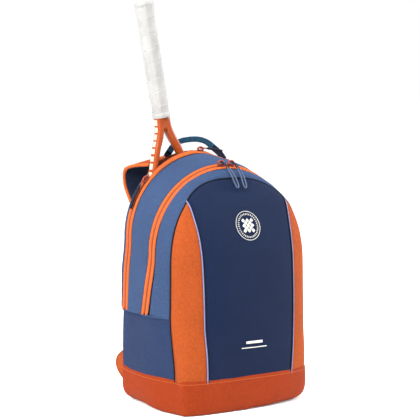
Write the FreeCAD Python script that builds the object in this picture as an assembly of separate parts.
"""Racket backpack with a racket standing in its rear compartment.

Millimetres. +Z is up, the front panel faces -Y, and the origin is the middle of the flat underside.
The bag's skin is one thin shell, cut along its seams and zips into the panels it is sewn from.
"""
import FreeCAD, Part

import math
import os

V = FreeCAD.Vector
X_AXIS = V(1, 0, 0)
Y_AXIS = V(0, 1, 0)
Z_AXIS = V(0, 0, 1)

# ---- Driving dimensions of the bag ----
BACK_Y = 98.0  # rear edge of the skin, where the back panel is sewn on
SKIN = 2.4  # fabric with its lining
ARCH_R = 145.0  # both zips run on arches of this radius
MAIN_ZIP_Y, MAIN_ZIP_ZC = 80.0, 291.0  # plane and arch centre height of the rear zip
FRONT_ZIP_Y, FRONT_ZIP_ZC = 0.0, 269.0  # the same for the front zip
ZIP_END_Z = 161.0  # both zips end on the seam at this height
MAIN_ZIP_END_Y, FRONT_ZIP_END_Y = 88.0, 20.0
BOOT_TOP_Z = 56.0  # top edge of the base boot
TAPE_W = 8.0  # visible width of one zip tape
TEETH_W = 1.2  # half of the coil, on one tape
BOARD, BOARD_FRONT_Y = (196.0, 150.0, 2.0), -58.0  # stiff board lying on the bottom
EDGE_PIPING_W, ACCENT_PIPING_W = 3.0, 2.0
DIVIDER_Y, DIVIDER_T, DIVIDER_Z, DIVIDER_CLEAR = 40.0, 2.0, 14.0, 5.0  # wall between the compartments
EMBLEM_R, EMBLEM_Z, TRIM_T = 24.4, 316.0, 0.8  # raised emblem high on the front
LABEL_BAR, LABEL_BARS = 4.0, [(54.0, 117.0), (38.0, 106.0)]  # width and foot height of each bar below it
BODY_GAP = 0.35  # free space between panels on different bodies
LEAN = 0.2  # how far the coil halves stay from the zip's centre line
PANEL_T, FOAM_T, PAD_T = 2.4, 6.0, 7.0  # back panel, the foam behind it, and the pads on the foam

# Arch sections from back to front: y, radius of the arch, height of its centre, side inset
SECTIONS = [
    (98.0, 143.0, 291.0, 1.6),
    (80.0, 145.0, 291.0, 0.5),
    (0.0, 145.0, 269.0, 0.0),
    (-42.0, 132.5, 255.5, 15.0),
    (-110.0, 105.0, 233.5, 42.0),
]
# Outline of a side below the arch: height, half width, for a section with no side inset
SIDE_LINE = [(225.0, 150.0), (161.0, 150.0), (56.0, 148.0), (18.0, 144.0)]
BOTTOM_R = 20.0  # rounding along the bottom edge of the sides
FOOT_DROP = 3.0  # the sections run this far below the ground face, which cuts them off flat

# Front surface: height, y of the middle line, and how square its plan outline is there
FRONT_PROFILE = [
    (-14.0, -78.0, 1.0), (20.0, -90.0, 0.9), (90.0, -95.5, 0.4), (180.0, -97.0, 0.0), (263.0, -91.0, 0.0),
    (316.0, -76.5, 0.0), (360.0, -54.0, 0.0), (420.0, -4.0, 0.0), (480.0, 52.0, 0.0),
]
# Distance from the middle line, and how far the surface falls back there: rounded plan, square plan
FRONT_CROWN = [(0.0, 0.0, 0.0), (50.0, 2.8, 0.8), (92.0, 12.0, 3.0), (126.0, 41.0, 19.0), (160.0, 88.0, 96.0)]
CENTRE_PANEL = [(0.0, 86.0), (135.0, 88.5), (263.0, 89.5), (320.0, 92.5), (365.0, 98.5), (430.0, 112.0)]

# ---- Racket ----
RACKET_Y = 86.2  # mid plane of the frame
RACKET_TILT = 10.0
BUTT_X, BUTT_Z = -111.0, 702.0
RACKET_L = 685.0
HOOP_U, HOOP_V = 116.0, 165.0  # outer half width and half length of the hoop
FRAME_W, BEAM = 11.0, 21.0
GRIP_END, FORK_V = 206.0, 238.0
ARM_OUTER = [(16.0, 206.0), (19.0, 230.0), (28.0, 264.0), (50.0, 328.0), (81.0, 402.0)]

# ---- Slot that the racket stands in: angles from the top of the arch, to the left ----
SLOT_FROM, SLOT_TO = 1.4, 46.1
SLOT_FRONT_Y = 75.2
LIP_FOOT_R, LIP_R = 142.5, 149.0  # foot and top of the rear lip, folded back behind the racket
LIP_TAPE_W = 3.5  # height of the zip tape along its top

parts = {}


def keep(name, shape):
    """Registers a sub-part under its node name."""
    assert shape.Solids, name + " is empty"
    parts[name] = shape
    return shape


def spline(points):
    curve = Part.BSplineCurve()
    curve.interpolate(points)
    return curve.toShape()


def prism(points, along, length):
    """A polygon of 3-D points extruded by length along an axis."""
    wire = Part.makePolygon([V(*p) for p in points] + [V(*points[0])])
    return Part.Face(wire).extrude(along * length)


# ---- The skin ----
def arch_wire(y, radius, centre, side_in, inset):
    """Closed cross-section of the bag at one depth, drawn in by inset."""
    r = radius - inset
    right = [V(r, y, centre)]
    right += [V(x - side_in - inset, y, z) for z, x in SIDE_LINE]
    low = inset - FOOT_DROP
    foot = V(right[-1].x - BOTTOM_R, y, low)
    corner = V(right[-1].x - BOTTOM_R * 0.29, y, low + BOTTOM_R * 0.29)

    def mirror(p):
        return V(-p.x, p.y, p.z)
    edges = [Part.Arc(mirror(right[0]), V(0, y, centre + r), right[0]).toShape()]
    edges += [Part.LineSegment(p, q).toShape() for p, q in zip(right, right[1:])]
    edges.append(Part.Arc(right[-1], corner, foot).toShape())
    edges.append(Part.LineSegment(foot, mirror(foot)).toShape())
    edges.append(Part.Arc(mirror(foot), mirror(corner), mirror(right[-1])).toShape())
    edges += [Part.LineSegment(mirror(q), mirror(p)).toShape() for p, q in reversed(list(zip(right, right[1:])))]
    return Part.Wire(edges)


def arches(inset=0.0):
    """Solid bounded by the gussets and the underside."""
    return Part.makeLoft([arch_wire(*s, inset) for s in SECTIONS], True, True)


def front_wire(z, middle, square, inset):
    """Plan outline of the front surface at one height, closed far behind the bag."""
    shrink = 1 - inset / 134.0
    right = [V(x * shrink, middle + inset + a + (b - a) * square, z) for x, a, b in FRONT_CROWN]
    left = [V(-p.x, p.y, z) for p in reversed(right[1:])]
    a, b = V(-200, 160, z), V(200, 160, z)
    return Part.Wire([
        spline(left + right),
        Part.LineSegment(right[-1], b).toShape(),
        Part.LineSegment(b, a).toShape(),
        Part.LineSegment(a, left[0]).toShape(),
    ])


def front_solid(inset=0.0):
    """Everything behind the front surface."""
    return Part.makeLoft([front_wire(*row, inset) for row in FRONT_PROFILE], True)


def zip_line(zip_y, end_y, centre_z, z):
    """Depth of a zip's centre line: level on the arch, slanting back below it."""
    if z >= centre_z:
        return zip_y
    return zip_y + (end_y - zip_y) * (centre_z - z) / (centre_z - ZIP_END_Z)


def between(first, low, second, high, floor=ZIP_END_Z + BODY_GAP):
    """Region between two zip lines, each shifted in depth; None is the far end that way."""
    def depth(line, shift, z):
        if line is None:
            return shift
        return zip_line(*line, z) + shift
    heights = [floor, first[2] if first else 280.0, 500.0]
    front = [(-260, depth(first, low, z), z) for z in heights]
    heights = [500.0, second[2] if second else 280.0, floor]
    back = [(-260, depth(second, high, z), z) for z in heights]
    return prism(front + back, X_AXIS, 520)


MAIN = (MAIN_ZIP_Y, MAIN_ZIP_END_Y, MAIN_ZIP_ZC)
FRONT = (FRONT_ZIP_Y, FRONT_ZIP_END_Y, FRONT_ZIP_ZC)


def sector(y0, y1, start, end, radius=230.0):
    """Wedge about the main arch's centre, from one angle to another to the left of the top."""
    def rim(a):
        a = math.radians(a)
        return (-radius * math.sin(a), y0, MAIN_ZIP_ZC + radius * math.cos(a))
    middle = rim((start + end) / 2)
    return prism([(0, y0, MAIN_ZIP_ZC), rim(start), middle, rim(end)], Y_AXIS, y1 - y0)


def lip(r0, r1):
    """Part of the folded-back rear lip, standing behind the racket."""
    ring = Part.makeCylinder(r1, SKIN, V(0, BACK_Y, MAIN_ZIP_ZC), Y_AXIS)
    ring = ring.cut(Part.makeCylinder(r0, SKIN, V(0, BACK_Y, MAIN_ZIP_ZC), Y_AXIS))
    return ring.common(sector(BACK_Y - 1, BACK_Y + 10, SLOT_FROM - 1.5, SLOT_TO + 1.5))


def make_skin():
    """Cuts the shell into its panels."""
    above_ground = Part.makeBox(600, 400, 600, V(-300, -200, 0))
    arch_in = arches(SKIN).common(Part.makeBox(600, 400, 600, V(-300, -200, SKIN)))
    behind_in = front_solid(SKIN)
    outer = arches().common(front_solid()).common(above_ground)
    front_skin = outer.cut(behind_in)
    gusset = outer.common(behind_in).cut(arch_in)
    behind_gap = front_solid(SKIN + BODY_GAP)
    slot = sector(SLOT_FRONT_Y, BACK_Y + 10, SLOT_FROM, SLOT_TO)
    above = Part.makeBox(600, 400, 600, V(-300, -200, ZIP_END_Z + BODY_GAP))

    rear = gusset.common(above).cut(slot)
    tape_foot = LIP_R - LIP_TAPE_W
    keep("rear_gusset", rear.common(between(MAIN, TAPE_W, None, 200)).fuse(lip(LIP_FOOT_R, tape_foot)))
    keep("main_zip_tape_rear", rear.common(between(MAIN, TEETH_W, MAIN, TAPE_W)).fuse(lip(tape_foot, LIP_R)))
    keep("main_zip_teeth_rear", rear.common(between(MAIN, LEAN, MAIN, TEETH_W)))
    keep("main_zip_teeth_front", rear.common(between(MAIN, -TEETH_W, MAIN, -LEAN)))
    keep("main_zip_tape_front", rear.common(between(MAIN, -TAPE_W, MAIN, -TEETH_W)))
    keep("middle_gusset", gusset.common(between(FRONT, TAPE_W, MAIN, -TAPE_W)))
    keep("front_zip_tape_rear", gusset.common(between(FRONT, TEETH_W, FRONT, TAPE_W)))
    keep("front_zip_teeth_rear", gusset.common(between(FRONT, LEAN, FRONT, TEETH_W)))
    keep("front_zip_teeth_front", gusset.common(between(FRONT, -TEETH_W, FRONT, -LEAN)))
    keep("front_zip_tape_front", gusset.common(between(FRONT, -TAPE_W, FRONT, -TEETH_W)))
    keep("front_gusset", gusset.common(between(None, -200, FRONT, -TAPE_W)))

    low = Part.makeBox(600, 400, ZIP_END_Z - BOOT_TOP_Z, V(-300, -200, BOOT_TOP_Z))
    sides = outer.common(behind_gap).cut(arch_in).common(low)
    for side, x in (("left", -300), ("right", 0)):
        keep("side_panel_" + side, sides.common(Part.makeBox(300, 400, 600, V(x, -200, 0))))

    under = Part.makeBox(600, 400, BOOT_TOP_Z, V(-300, -200, 0))
    inner = arch_in.common(behind_in)
    keep("base_boot", outer.cut(inner).common(under))
    keep("base_board", Part.makeBox(*BOARD, V(-BOARD[0] / 2, BOARD_FRONT_Y, SKIN)))
    make_front(front_skin)
    make_trim()
    make_divider()


def front_strip(shift, width=None):
    """The centre panel's outline through the bag, or a band of that width along its right edge."""
    right = [V(x + shift, -200, z) for z, x in CENTRE_PANEL]
    if width is None:
        left = [V(-p.x, p.y, p.z) for p in reversed(right)]
    else:
        left = [V(p.x + width, p.y, p.z) for p in reversed(right)]
    return Part.Face(Part.makePolygon(right + left + [right[0]])).extrude(Y_AXIS * 300)


def make_front(front_skin):
    """Splits the front skin into centre, side panels, light piping and dark edge piping."""
    high = Part.makeBox(600, 400, 600, V(-300, -200, BOOT_TOP_Z + BODY_GAP))
    front_skin = front_skin.common(high)
    field = arches(EDGE_PIPING_W)
    keep("edge_piping", front_skin.cut(field))
    field_skin = front_skin.common(field)

    keep("front_centre_panel", field_skin.common(front_strip(0.0)))
    outside = field_skin.cut(front_strip(ACCENT_PIPING_W))
    keep("front_side_panel_left", outside.common(Part.makeBox(300, 400, 600, V(-300, -200, 0))))
    keep("front_side_panel_right", outside.common(Part.makeBox(300, 400, 600, V(0, -200, 0))))
    band = front_strip(0.0, ACCENT_PIPING_W)
    keep("accent_piping_right", field_skin.common(band))
    keep("accent_piping_left", field_skin.common(band.mirror(V(0, 0, 0), X_AXIS)))


def make_trim():
    """Round emblem and the pair of printed bars below it, both lying on the centre panel."""
    surface = front_solid().common(Part.makeBox(200, 160, 500, V(-100, -160, 0)))
    raised = front_solid(-TRIM_T).common(Part.makeBox(200, 160, 500, V(-100, -160, 0))).cut(surface)
    disc = Part.makeCylinder(EMBLEM_R, 200, V(0, -160, EMBLEM_Z), Y_AXIS)
    keep("front_emblem", raised.common(disc))
    bars = [Part.makeBox(w, 200, LABEL_BAR, V(-w / 2, -160, z)) for w, z in LABEL_BARS]
    keep("front_label", raised.common(bars[0].fuse(bars[1])))


def make_divider():
    """Fabric wall between the two compartments, hung from the middle gusset."""
    slab = Part.makeBox(600, DIVIDER_T, 600, V(-300, DIVIDER_Y, DIVIDER_Z))
    keep("divider", arches(SKIN + DIVIDER_CLEAR).common(slab))


# ---- Back ----
def arch_plate(y, thick, inset, bottom):
    """Flat plate with the back panel's arched outline."""
    plate = arches(inset).common(Part.makeBox(600, 1, 600, V(-300, BACK_Y - 1, bottom)))
    face = max(plate.Faces, key=lambda f: (f.CenterOfMass.y > BACK_Y - 0.01, f.Area))
    flat = face.translated(V(0, y - BACK_Y, 0))
    return flat.extrude(Y_AXIS * thick)


def rounded_pad(x, z, width, height, y, thick, radius):
    pad = Part.makeBox(width, thick, height, V(x - width / 2, y, z - height / 2))
    edges = [e for e in pad.Edges if abs(e.tangentAt(e.FirstParameter).y) > 0.9]
    return pad.makeFillet(radius, edges)


def make_back():
    keep("back_panel", arch_plate(BACK_Y, PANEL_T, 0.6, 0.0))
    keep("back_foam", arch_plate(BACK_Y + PANEL_T, FOAM_T, 7.0, 0.0))
    y = BACK_Y + PANEL_T + FOAM_T
    keep("back_pad_left", rounded_pad(-58, 255, 84, 230, y, PAD_T, 24))
    keep("back_pad_right", rounded_pad(58, 255, 84, 230, y, PAD_T, 24))
    keep("lumbar_pad", rounded_pad(0, 88, 210, 78, y, PAD_T, 24))


# ---- Sliders and pulls, built at the top of their arch ----
LINK_L, PULL_L = 12.0, 50.0
FRONT_PULL_DROP = -2.5  # the front pulls are held just above level, clear of the flap that leans out under them
FRONT_BAR = 7.6  # height of the front sliders' bar over the slider's foot
MAIN_SLIDER_RISE = 2.1  # the main sliders clear the tape that rises as the flap leans out
FRONT_SLIDER_RISE = 1.5  # the front sliders stand higher, clear of the rising gusset behind


def slider_plate(y, crown):
    outline = [(-7, -3), (-3, -5), (7, -4), (7, 4), (-3, 5), (-7, 3)]
    plate = prism([(a, y + b, crown + 0.6) for a, b in outline], Z_AXIS, 2.4)
    return plate


def main_slider(crown):
    """Slider whose bridge has a cross hole for the pull's pin."""
    block = Part.makeBox(8, 3.2, 5.0, V(-4, MAIN_ZIP_Y - 1.6, crown + 2.8))
    hole = Part.makeCylinder(1.1, 10, V(0, MAIN_ZIP_Y - 5, crown + 5.4), Y_AXIS)
    return slider_plate(MAIN_ZIP_Y, crown).fuse(block).cut(hole)


def main_link(crown):
    """Pin and two arms, pointing along +X."""
    y, z = MAIN_ZIP_Y, crown + 5.4
    link = Part.makeCylinder(1.0, 7.6, V(0, y - 3.8, z), Y_AXIS)
    for a in (y - 3.8, y + 2.2):
        link = link.fuse(Part.makeBox(LINK_L + 1, 1.6, 2.0, V(-1, a, z - 1)))
    return link.fuse(Part.makeBox(2, 7.6, 2.0, V(LINK_L - 2, y - 3.8, z - 1)))


def main_tab(crown):
    tab = Part.makeBox(PULL_L - LINK_L, 6.4, 2.6, V(LINK_L, MAIN_ZIP_Y - 3.2, crown + 4.1))
    edges = [e for e in tab.Edges if e.BoundBox.ZLength > 2 and e.BoundBox.XMin > LINK_L + 1]
    return tab.makeFillet(3.0, edges)


def front_slider(crown):
    """Slider whose bridge is a bar along the zip, for a pull that flops forward."""
    shape = slider_plate(FRONT_ZIP_Y, crown)
    for a in (-5.4, 3.8):
        shape = shape.fuse(Part.makeBox(1.6, 2.6, FRONT_BAR - 1.7, V(a, -1.3, crown + 2.8)))
    return shape.fuse(Part.makeCylinder(1.1, 9, V(-4.5, 0, crown + FRONT_BAR), X_AXIS))


def front_link(crown):
    z = crown + FRONT_BAR
    eye = Part.makeCylinder(2.6, 3.0, V(-1.5, 0, z), X_AXIS)
    stem = Part.makeBox(3.0, LINK_L, 1.8, V(-1.5, -LINK_L, z - 0.9))
    hole = Part.makeCylinder(1.45, 5, V(-2.5, 0, z), X_AXIS)
    return drop(eye.fuse(stem).cut(hole), crown)


def front_tab(crown):
    tab = Part.makeBox(6.4, PULL_L - LINK_L, 2.6, V(-3.2, -PULL_L, crown + FRONT_BAR - 1.3))
    edges = [e for e in tab.Edges if e.BoundBox.ZLength > 2 and e.BoundBox.YMax < -PULL_L + 1]
    return drop(tab.makeFillet(3.0, edges), crown)


def drop(shape, crown):
    """Turns a forward-pointing pull to its slope over the front gusset."""
    shape = shape.copy()
    shape.rotate(V(0, 0, crown + FRONT_BAR), X_AXIS, FRONT_PULL_DROP)
    return shape


def around(shape, degrees, centre_z):
    """Moves a piece along an arch, degrees to the left of the top."""
    shape = shape.copy()
    shape.rotate(V(0, 0, centre_z), Y_AXIS, -degrees)
    return shape


MAIN_LEFT_AT, MAIN_RIGHT_AT = 48.0, -1.0
FRONT_LEFT_AT, FRONT_RIGHT_AT = 2.2, -6.2


def make_sliders():
    crown = MAIN_ZIP_ZC + ARCH_R + MAIN_SLIDER_RISE
    reach = -9.0  # the pull leans in by this much, to follow the arch
    for side, at, turn in (("left", MAIN_LEFT_AT, 180.0), ("right", MAIN_RIGHT_AT, 0.0)):
        keep("main_slider_" + side, around(main_slider(crown), at, MAIN_ZIP_ZC))
        for name, piece in (("link", main_link(crown)), ("tab", main_tab(crown))):
            lean = reach if side == "left" else -reach
            piece.rotate(V(0, MAIN_ZIP_Y, crown + 5.4), Y_AXIS, turn + lean)
            keep("main_pull_" + name + "_" + side, around(piece, at, MAIN_ZIP_ZC))
    crown = FRONT_ZIP_ZC + ARCH_R + FRONT_SLIDER_RISE
    for side, at in (("left", FRONT_LEFT_AT), ("right", FRONT_RIGHT_AT)):
        keep("front_slider_" + side, around(front_slider(crown), at, FRONT_ZIP_ZC))
        keep("front_pull_link_" + side, around(front_link(crown), at, FRONT_ZIP_ZC))
        keep("front_pull_tab_" + side, around(front_tab(crown), at, FRONT_ZIP_ZC))


# ---- Carry handle ----
HANDLE_Y, HANDLE_T = BACK_Y + PANEL_T + 0.6, 4.0
HANDLE_X, HANDLE_Z = 50.0, 428.0


def make_handle():
    """Folded webbing loop standing on the top edge of the back panel."""
    outer = [(-58, 0), (-44, 18), (-30, 31), (0, 36), (22, 34), (40, 21), (62, 0)]
    inner = [(40, 0), (33, 13), (20, 22), (0, 25), (-24, 21), (-33, 12), (-38, 0)]

    def edge(points):
        return spline([V(x, HANDLE_Y, HANDLE_Z + z) for x, z in points])

    def line(a, b):
        return Part.LineSegment(V(a[0], HANDLE_Y, HANDLE_Z + a[1]), V(b[0], HANDLE_Y, HANDLE_Z + b[1])).toShape()

    wire = Part.Wire([edge(outer), line(outer[-1], inner[0]), edge(inner), line(inner[-1], outer[0])])
    loop = Part.Face(wire).extrude(Y_AXIS * HANDLE_T)
    grip_box = Part.makeBox(50, 20, 40, V(-24, HANDLE_Y - 8, HANDLE_Z + 8))
    keep("handle_webbing", loop.cut(grip_box))
    keep("handle_grip", loop.common(grip_box))


# ---- Shoulder straps ----
STRAP_X, STRAP_W, STRAP_T = 60.0, 60.0, 9.0
STRAP_ROOT_Y = BACK_Y + PANEL_T + FOAM_T + 1.6
# Middle line of the strap, seen from the side: y, z
STRAP_LINE = [
    (STRAP_ROOT_Y, 419.0), (150.0, 414.5), (182.0, 404.0), (195.0, 392.0), (198.0, 379.0),
    (189.0, 364.0), (168.0, 346.0), (148.0, 322.0), (136.0, 290.0), (130.0, 250.0), (129.0, 208.0),
]
BUCKLE_Z, BUCKLE_Y = 182.0, 129.0
BUCKLE_W, BUCKLE_H, BUCKLE_T = 34.0, 26.0, 5.0
WEBBING_W, WEBBING_T = 25.0, 1.8
WING_X, WING_W = 127.0, 30.0


def ribbon(line, thick, x0, x1):
    """Flat band following a side-view line, from x0 to x1."""
    points = [V(x0, y, z) for y, z in line]
    middle = Part.BSplineCurve()
    middle.interpolate(points)
    count = 40
    near, far = [], []
    for i in range(count + 1):
        t = middle.FirstParameter + (middle.LastParameter - middle.FirstParameter) * i / count
        p, d = middle.value(t), middle.tangent(t)[0]
        n = V(0, -d.z, d.y).normalize() * (thick / 2)
        near.append(p + n)
        far.append(p - n)
    wire = Part.Wire([
        spline(near), Part.LineSegment(near[-1], far[-1]).toShape(),
        spline(list(reversed(far))), Part.LineSegment(far[0], near[0]).toShape(),
    ])
    return Part.Face(wire).extrude(X_AXIS * (x1 - x0))


def offset_line(line, shift):
    """A side-view line moved sideways by shift, for the strap's two layers."""
    moved = []
    for i, (y, z) in enumerate(line):
        a, b = line[max(i - 1, 0)], line[min(i + 1, len(line) - 1)]
        dy, dz = b[0] - a[0], b[1] - a[1]
        size = math.hypot(dy, dz)
        moved.append((y - dz / size * shift, z + dy / size * shift))
    return moved


def make_straps():
    """Each strap is an outer cover with a softer lining, a buckle at its end and webbing to a wing."""
    for side, sign in (("left", -1), ("right", 1)):
        x0 = sign * STRAP_X - STRAP_W / 2
        cover = ribbon(offset_line(STRAP_LINE, 2.5), STRAP_T - 5.0, x0, x0 + STRAP_W)
        lining = ribbon(offset_line(STRAP_LINE, -2.0), 4.8, x0, x0 + STRAP_W)
        keep("strap_cover_" + side, cover)
        keep("strap_lining_" + side, lining.cut(cover))
        keep("ladder_lock_" + side, ladder_lock(sign))
        keep("lower_webbing_" + side, lower_webbing(sign))
        keep("strap_wing_" + side, wing(sign))


def ladder_lock(sign):
    """Buckle frame with two slots, hanging from the end of the strap."""
    x = sign * STRAP_X - BUCKLE_W / 2
    frame = Part.makeBox(BUCKLE_W, BUCKLE_T, BUCKLE_H, V(x, BUCKLE_Y - BUCKLE_T / 2, BUCKLE_Z - BODY_GAP))
    for z in (5.0, 16.0):
        slot = Part.makeBox(BUCKLE_W - 8, BUCKLE_T + 4, 5.0, V(x + 4, BUCKLE_Y - BUCKLE_T, BUCKLE_Z + z))
        frame = frame.cut(slot)
    return frame


def lower_webbing(sign):
    """Webbing from the wing up to the buckle."""
    foot = V(sign * (WING_X - 6), 128, 76)
    head = V(sign * STRAP_X, BUCKLE_Y + BUCKLE_T, BUCKLE_Z - 14)
    across = (head - foot).cross(Y_AXIS).normalize() * (WEBBING_W / 2)
    corners = [foot - across, head - across, head + across, foot + across]
    return Part.Face(Part.makePolygon(corners + corners[:1])).extrude(Y_AXIS * WEBBING_T)


def wing(sign):
    """Triangular tab at the lower corner that the strap webbing is sewn into."""
    y0 = BACK_Y + PANEL_T + FOAM_T
    outline = [(y0, 92), (120, 76), (133, 62), (128, 46), (y0, 26)]
    plate = prism([(0, y, z) for y, z in outline], X_AXIS, WING_W)
    return plate.translated(V(sign * WING_X - WING_W / 2, 0, 0))


# ---- Racket, built with its butt at the origin and its axis along +Z, then turned over ----
def ellipse_prism(u, v, centre_v, thick):
    curve = Part.Ellipse(V(0, 0, 0), max(u, v), min(u, v))
    face = Part.Face(Part.Wire(curve.toShape()))
    face.rotate(V(0, 0, 0), X_AXIS, 90)
    if v > u:
        face.rotate(V(0, 0, 0), Y_AXIS, 90)
    return face.translated(V(0, -thick / 2, centre_v)).extrude(Y_AXIS * thick)


def arm_prism(shrink, start_v, thick):
    """Throat outline between the shaft and the hoop, drawn in by shrink."""
    right = [V(u - shrink, -thick / 2, v) for u, v in ARM_OUTER if v >= start_v]
    if shrink:
        right = [V(0.0, -thick / 2, start_v)] + right
        left = [V(-p.x, p.y, p.z) for p in reversed(right[1:])]
        edges = [spline(right), Part.LineSegment(right[-1], left[0]).toShape(), spline(left + [right[0]])]
    else:
        left = [V(-p.x, p.y, p.z) for p in reversed(right)]
        edges = [spline(right), Part.LineSegment(right[-1], left[0]).toShape(), spline(left),
                 Part.LineSegment(left[-1], right[0]).toShape()]
    return Part.Face(Part.Wire(edges)).extrude(Y_AXIS * thick)


def octagon(across, v):
    r = across / 2 / math.cos(math.pi / 8)
    corners = [V(r * math.cos(a), r * math.sin(a), v) for a in (math.pi / 8 + k * math.pi / 4 for k in range(8))]
    return Part.makePolygon(corners + [corners[0]])


def place_racket(shape):
    """From butt at the origin, head up, to handle up and head down in the bag."""
    shape = shape.copy()
    shape.rotate(V(0, 0, 0), Y_AXIS, 180 - RACKET_TILT)
    return shape.translated(V(BUTT_X, RACKET_Y, BUTT_Z))


def make_racket():
    hoop_v = RACKET_L - HOOP_V
    outer = ellipse_prism(HOOP_U, HOOP_V, hoop_v, BEAM)
    inner = ellipse_prism(HOOP_U - FRAME_W, HOOP_V - FRAME_W, hoop_v, BEAM + 2)
    arms = arm_prism(0.0, 200.0, BEAM).cut(arm_prism(FRAME_W, FORK_V, BEAM + 2))
    frame = outer.fuse(arms).cut(inner)
    keep("racket_frame", place_racket(frame.removeSplitter()))

    bumper = ellipse_prism(HOOP_U + 1.2, HOOP_V + 1.2, hoop_v, 14.0)
    bumper = bumper.cut(ellipse_prism(HOOP_U, HOOP_V, hoop_v, 16.0))
    keep("racket_bumper", place_racket(bumper.common(Part.makeBox(300, 40, 120, V(-150, -20, hoop_v + 60)))))

    string, clear = 1.2, 0.7
    a, b = HOOP_U - FRAME_W - clear, HOOP_V - FRAME_W - clear
    bars = []
    for i in range(-7, 8):
        u = i * 13.0
        reach = b * math.sqrt(1 - (u / a) ** 2)
        bars.append(Part.makeBox(string, string, 2 * reach, V(u - string / 2, 0.02, hoop_v - reach)))
    for i in range(-8, 9):
        v = i * 16.0
        reach = a * math.sqrt(1 - (v / b) ** 2)
        bars.append(Part.makeBox(2 * reach, string, string, V(-reach, -string, hoop_v + v - string / 2)))
    keep("racket_strings", place_racket(Part.makeCompound(bars)))

    core = Part.Face(octagon(25.0, 4.0)).extrude(Z_AXIS * (GRIP_END - 4.0))
    keep("racket_handle_core", place_racket(core))
    sleeve = Part.makeLoft([octagon(35.0, 5.0), octagon(31.0, 30.0)], True, True)
    sleeve = sleeve.fuse(Part.makeLoft([octagon(31.0, 30.0), octagon(31.5, 200.0)], True, True))
    hollow = Part.Face(octagon(25.0, 4.0)).extrude(Z_AXIS * GRIP_END)
    keep("racket_grip", place_racket(sleeve.cut(hollow)))
    collar = Part.Face(octagon(32.4, 200.0)).extrude(Z_AXIS * (GRIP_END - 200.0))
    keep("racket_grip_collar", place_racket(collar.cut(hollow)))
    cap = Part.makeLoft([octagon(33.0, 0.0), octagon(36.4, 4.0)], True, True)
    cap = cap.fuse(Part.Face(octagon(36.4, 4.0)).extrude(Z_AXIS * 1.0))
    keep("racket_butt_cap", place_racket(cap.cut(Part.Face(octagon(25.0, 4.0)).extrude(Z_AXIS * 2.0))))


def main():
    make_skin()
    make_back()
    make_sliders()
    make_handle()
    make_straps()
    make_racket()
    os.makedirs("parts", exist_ok=True)
    for old in os.listdir("parts"):
        os.remove(os.path.join("parts", old))
    for name, shape in sorted(parts.items()):
        shape.exportStep(os.path.join("parts", name + ".step"))
        print(name, len(shape.Solids), "solids", round(shape.Volume / 1000, 2), "cm3", shape.isValid())


main()
